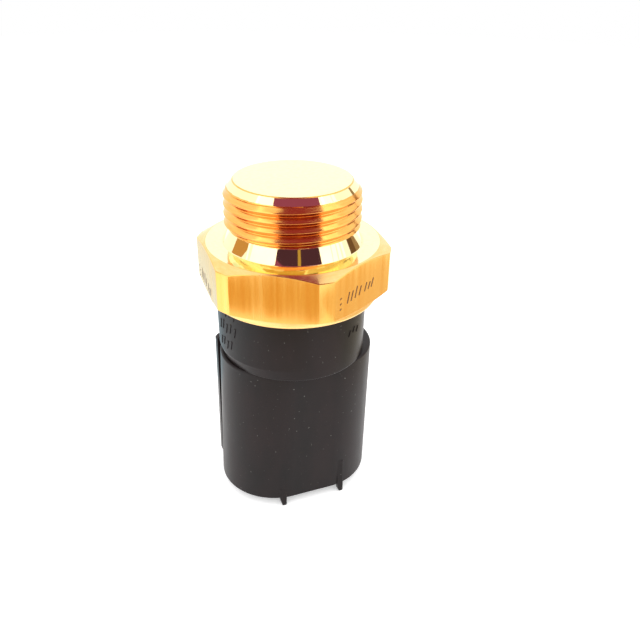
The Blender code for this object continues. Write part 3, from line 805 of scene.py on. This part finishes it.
def hex_marks(material):
    """Stamped strokes without meaning on two of the flats, as thin raised plates whose dark brown is painted
    shade of stamped grooves.
    """
    shape = bmesh.new()
    for flat, slope, middle_z in FACE_ROWS:
        out, side = around(HEX_TURN + flat * math.pi / 3)
        for place, length in FACE_STROKES:
            z = middle_z - 0.6 + slope * (place + 4) * 0.6
            low = out * HEX_FLAT_RADIUS + side * place + Vector((0, 0, z))
            stroke(shape, low, low + side * 0.55 + Vector((0, 0, length)), STROKE_WIDTH, STAMP_PROUD, out)
        for lift in FACE_DASHES:
            low = out * HEX_FLAT_RADIUS + side * DASH_PLACE + Vector((0, 0, middle_z + lift))
            stroke(shape, low, low + side * 0.45 + Vector((0, 0, 0.2)), DASH_WIDTH, STAMP_PROUD, out)
    add_marks("hex_marks", shape, material)


def neck_marks(material):
    """Raised moulded strokes without meaning on the neck."""
    shape = bmesh.new()
    for z, start, count, length in NECK_ROWS:
        radius = NECK_BOTTOM_RADIUS + (NECK_TOP_RADIUS - NECK_BOTTOM_RADIUS) * (z - NECK_BOTTOM_Z) / NECK_HEIGHT
        for index in range(count):
            out, side = around(math.radians(start + NECK_MARK_STEP * index))
            stretch = 1 + NECK_LEFT_STRETCH * (out.x < 0)
            low = Vector((out.x * radius * stretch, out.y * radius, z + 0.35 * (index % 2)))
            high = low + side * 0.45 + Vector((0, 0, length))
            stroke(shape, low, high, STROKE_WIDTH, NECK_MARK_PROUD, out)
    add_marks("neck_marks", shape, material)


# ---------------------------------------------------------------- inner pieces keep their CAD shape


def paint_nodes():
    tin = plain("tinned", (0.55, 0.54, 0.50), (0.75, 0.74, 0.71), (0.22, 0.4), 1.0, (3, 3, 0.1))
    bronze = plain("bronze", (0.60, 0.30, 0.15), (0.75, 0.45, 0.25), (0.25, 0.4), 1.0, (4, 0.2, 4))
    silver = plain("silver", (0.75, 0.75, 0.73), (0.88, 0.88, 0.86), (0.15, 0.3), 1.0)
    bimetal = plain("bimetal_strip", (0.42, 0.40, 0.38), (0.6, 0.58, 0.55), (0.25, 0.45), 1.0, (0.3, 4, 4))
    copper = plain("copper_sheet", (0.70, 0.30, 0.18), (0.85, 0.45, 0.30), (0.25, 0.4), 1.0, (0.3, 4, 4))
    phenolic = plain("phenolic_brown", (0.10, 0.045, 0.02), (0.18, 0.08, 0.035), (0.4, 0.6))
    rubber = plain("rubber_black", (0.015, 0.015, 0.015), (0.03, 0.03, 0.03), (0.7, 0.9))
    ceramic = plain("ceramic_white", (0.75, 0.74, 0.70), (0.85, 0.84, 0.80), (0.3, 0.5))
    slow = (0.4, 0.4, 0.4)
    epoxy = plain("epoxy_black", (0.02, 0.02, 0.024), (0.035, 0.035, 0.04), (0.08, 0.2), 0.0, slow, 0.05)
    paints = {
        "sealing_gasket": rubber,
        "contact_base": phenolic,
        "disc_carrier": phenolic,
        "terminal_potting": epoxy,
        "common_terminal": tin,
        "heat_spacer": copper,
    }
    for stage in (1, 2):
        paints[f"stage_{stage}_terminal"] = tin
        paints[f"bimetal_disc_{stage}"] = bimetal
        paints[f"push_pin_{stage}"] = ceramic
        paints[f"contact_spring_{stage}"] = bronze
        paints[f"spring_rivet_{stage}"] = bronze
        paints[f"moving_contact_{stage}"] = silver
        paints[f"fixed_contact_{stage}"] = silver
    for node, material in paints.items():
        obj = frame["nodes"][node]
        obj.data.materials.clear()
        obj.data.materials.append(material)


def brass_finishes():
    """The six brass tones, in the order of the finish numbers from faced to underside. The threaded, turned and
    drawn ones are oranger as painted reflection, and the underside one is darker and redder as painted shade,
    besides each one's own roughness and tool marks.
    """
    fine = (1.5, 1.5, 1.5)
    return [
        brass("brass_faced", ((0.94, 0.83, 0.47), (0.97, 0.88, 0.55)), fine, (0.06, 0.12), 0.001),
        brass("brass_threaded_painted_reflection", ((0.91, 0.40, 0.08), (0.95, 0.50, 0.13)), (0.4, 0.4, 5), (0.1, 0.2), 0.002),
        brass("brass_polished", ((0.94, 0.78, 0.42), (0.96, 0.82, 0.47)), (0.3, 0.3, 0.3), (0.03, 0.06), 0.001),
        brass("brass_turned_painted_reflection", ((0.93, 0.55, 0.18), (0.96, 0.66, 0.28)), (0.5, 0.5, 4), (0.15, 0.25), 0.002),
        brass("brass_drawn_painted_reflection", ((0.90, 0.44, 0.09), (0.95, 0.56, 0.16)), (0.6, 0.6, 0.02), (0.12, 0.3), 0.004),
        brass("brass_underside_painted_shade", ((0.86, 0.28, 0.08), (0.91, 0.40, 0.12)), (0.6, 0.6, 5), (0.1, 0.2), 0.002),
    ]


def main():
    make_camera()
    studio()
    brass_body(brass_finishes())
    plastic = black_plastic("plastic_black")
    connector_housing(plastic)
    neck_marks(plastic)
    # The dark brown of the stamped strokes is painted shade, standing in for the shade inside stamped grooves.
    stamp_shade = plain("stamp_painted_shade", (0.10, 0.035, 0.012), (0.22, 0.09, 0.03), (0.35, 0.6), 0.6, (2, 2, 2))
    hex_marks(stamp_shade)
    paint_nodes()


main()
